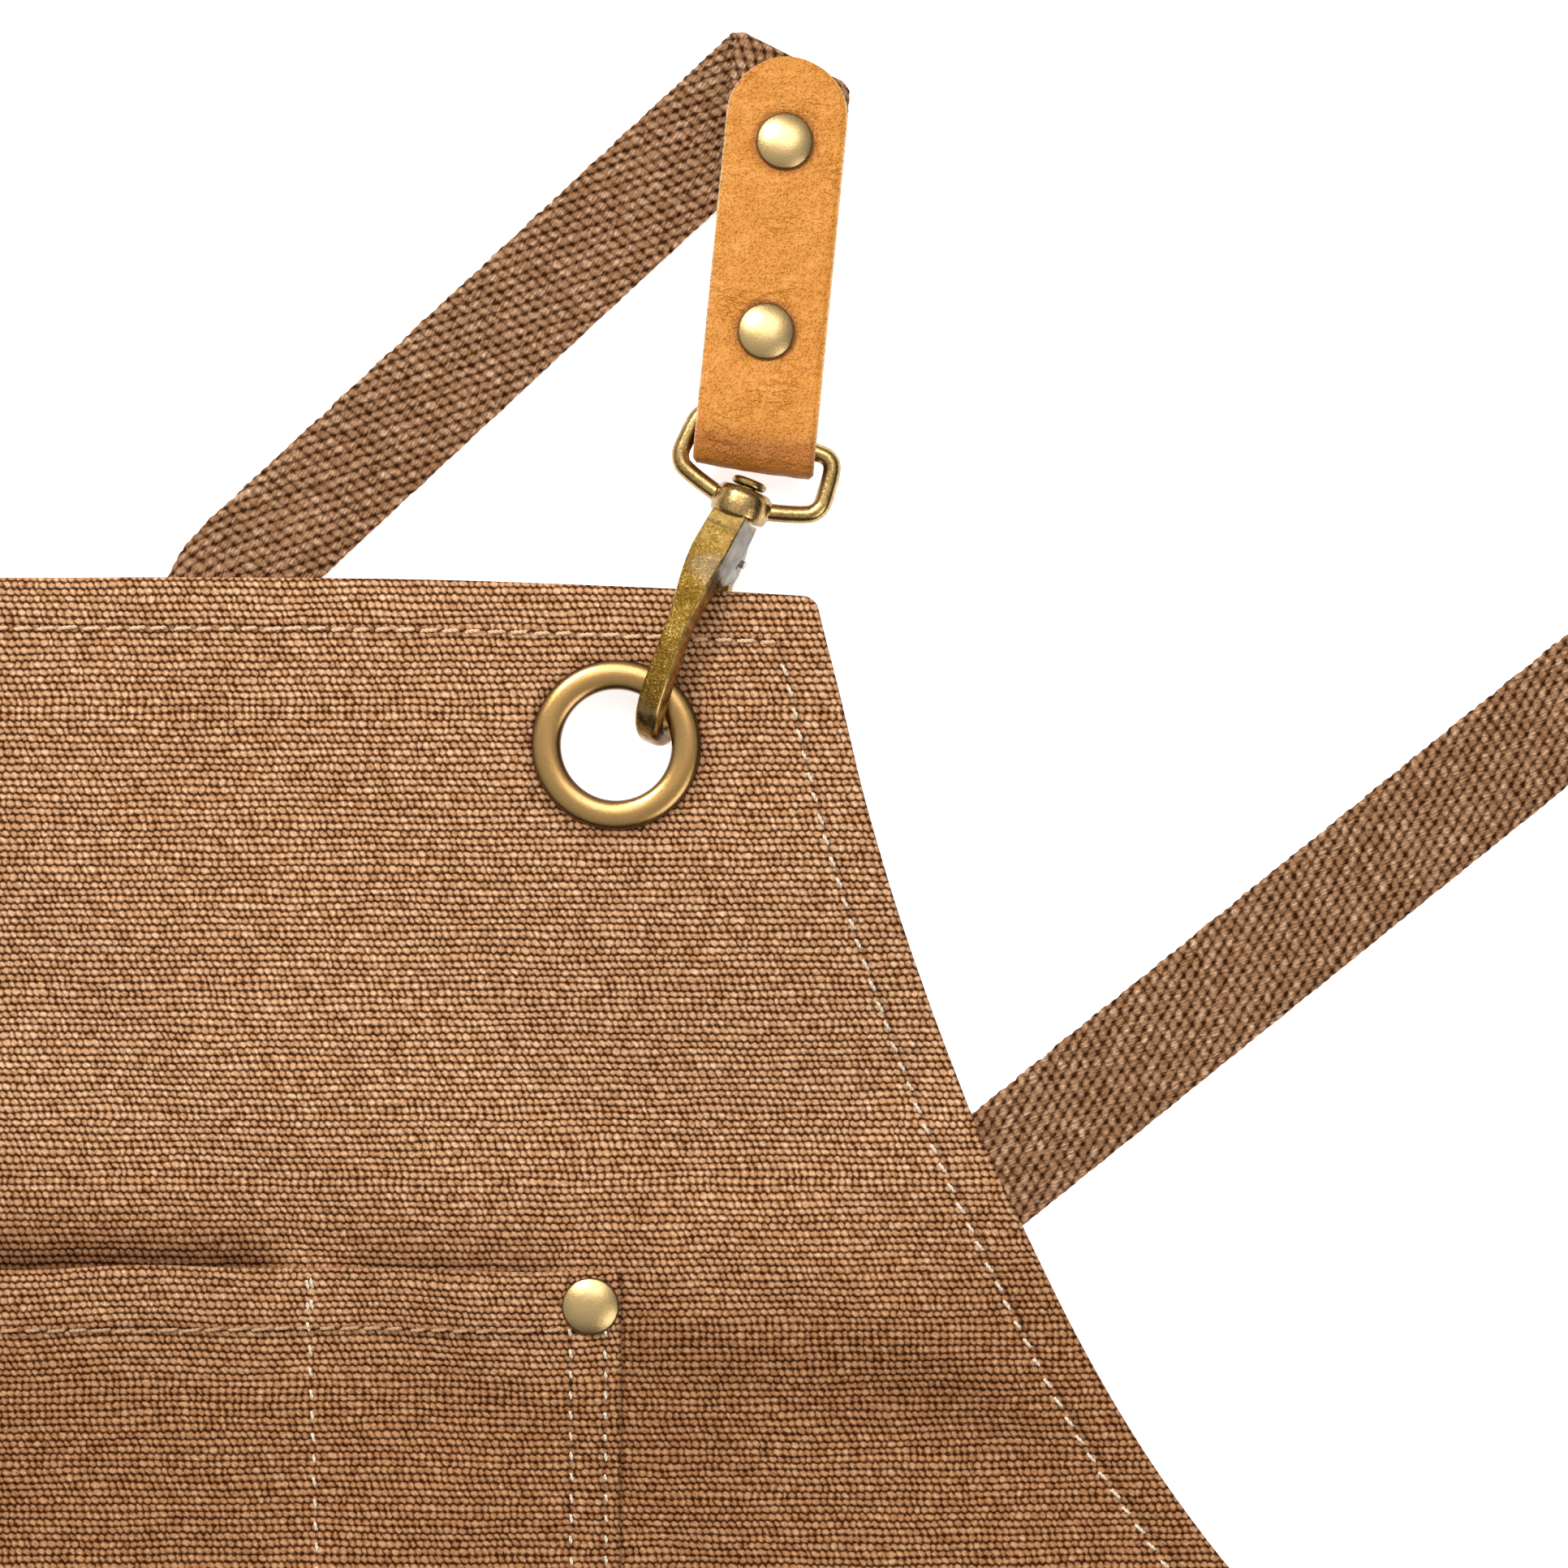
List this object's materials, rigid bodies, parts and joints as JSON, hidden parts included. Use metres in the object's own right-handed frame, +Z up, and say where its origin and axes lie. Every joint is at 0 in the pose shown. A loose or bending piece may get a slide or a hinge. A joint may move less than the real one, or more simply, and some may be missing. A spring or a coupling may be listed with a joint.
{
  "type": "butcher apron",
  "caption": "Canvas bib apron with clip-on cross-back webbing straps, leather tabs, swivel snap hooks through brass eyelets and two pockets, laid flat.",
  "frame": {"origin": "bottom centre of the apron's box as it lies flat, front face up", "axes": "+Y towards the neck, +Z up out of the front face, +X towards the wearer's left"},
  "size_m": [0.7054, 0.9178, 0.0199],
  "materials": {
    "canvas": "heavy plain-weave cotton canvas, tan brown, matte",
    "webbing": "coarse twill cotton webbing, tan, matte",
    "leather": "vegetable-tanned leather, satin grain with raw cut edges",
    "brass": "antique brass, satin",
    "antique_brass": "antique brass casting, satin with polished high spots",
    "steel": "plain drawn wire"
  },
  "bodies": {
    "root": {"apron_panel": "canvas", "chest_pocket": "canvas", "waist_pocket": "canvas", "chest_pocket_rivet_R_cap": "brass", "waist_pocket_rivet_R_cap": "brass", "top_eyelet_R_grommet": "brass", "top_eyelet_R_washer": "brass", "waist_eyelet_R_grommet": "brass", "waist_eyelet_R_washer": "brass", "strap_R": "webbing", "chest_pocket_rivet_L_cap": "brass", "waist_pocket_rivet_L_cap": "brass", "top_eyelet_L_grommet": "brass", "top_eyelet_L_washer": "brass", "waist_eyelet_L_grommet": "brass", "waist_eyelet_L_washer": "brass", "strap_L": "webbing"},
    "tab_R": {"leather_tab_R": "leather", "strap_end_R": "webbing", "tab_rivet_lower_R_cap": "brass", "tab_rivet_lower_R_post": "brass", "tab_rivet_upper_R_cap": "brass", "tab_rivet_upper_R_post": "brass"},
    "loop_R": {"swivel_loop_R": "antique_brass"},
    "hook_R": {"hook_body_R": "antique_brass", "gate_pin_R": "steel", "gate_spring_R": "steel"},
    "gate_R": {"gate_lever_R": "antique_brass"},
    "tab_L": {"leather_tab_L": "leather", "strap_end_L": "webbing", "tab_rivet_lower_L_cap": "brass", "tab_rivet_lower_L_post": "brass", "tab_rivet_upper_L_cap": "brass", "tab_rivet_upper_L_post": "brass"},
    "loop_L": {"swivel_loop_L": "antique_brass"},
    "hook_L": {"hook_body_L": "antique_brass", "gate_pin_L": "steel", "gate_spring_L": "steel"},
    "gate_L": {"gate_lever_L": "antique_brass"}
  },
  "joints": [
    {"name": "tab_lift_R", "type": "hinge", "parent": "root", "child": "tab_R", "pos_m": [0.13038, 0.37426, 0.01006], "axis": [0.9348, -0.3551, 0], "range_deg": [0, 20]},
    {"name": "loop_turn_R", "type": "hinge", "parent": "tab_R", "child": "loop_R", "pos_m": [0.13038, 0.37426, 0.01006], "axis": [0.9348, -0.3551, 0], "range_deg": [-20, 0]},
    {"name": "hook_swivel_R", "type": "hinge", "parent": "loop_R", "child": "hook_R", "pos_m": [0.1247, 0.3593, 0.01006], "axis": [-0.3551, -0.9348, 0], "range_deg": [-28, 4]},
    {"name": "gate_open_R", "type": "hinge", "parent": "hook_R", "child": "gate_R", "pos_m": [0.12234, 0.34885, 0.00593], "axis": [-0.8784, 0.3337, -0.342], "range_deg": [0, 10], "stiffness_Nm_per_rad": 0.05, "springref_deg": -20.05},
    {"name": "tab_lift_L", "type": "hinge", "parent": "root", "child": "tab_L", "pos_m": [-0.13038, 0.37426, 0.01006], "axis": [0.9348, 0.3551, 0], "range_deg": [0, 20]},
    {"name": "loop_turn_L", "type": "hinge", "parent": "tab_L", "child": "loop_L", "pos_m": [-0.13038, 0.37426, 0.01006], "axis": [0.9348, 0.3551, 0], "range_deg": [-20, 0]},
    {"name": "hook_swivel_L", "type": "hinge", "parent": "loop_L", "child": "hook_L", "pos_m": [-0.1247, 0.3593, 0.01006], "axis": [-0.3551, 0.9348, 0], "range_deg": [-28, 4]},
    {"name": "gate_open_L", "type": "hinge", "parent": "hook_L", "child": "gate_L", "pos_m": [-0.12234, 0.34885, 0.00593], "axis": [-0.8784, -0.3337, 0.342], "range_deg": [0, 10], "stiffness_Nm_per_rad": 0.05, "springref_deg": -20.05}
  ],
  "couplings": [
    {"joint": "loop_turn_R", "follows": "tab_lift_R", "ratio": -1},
    {"joint": "loop_turn_L", "follows": "tab_lift_L", "ratio": -1}
  ]
}
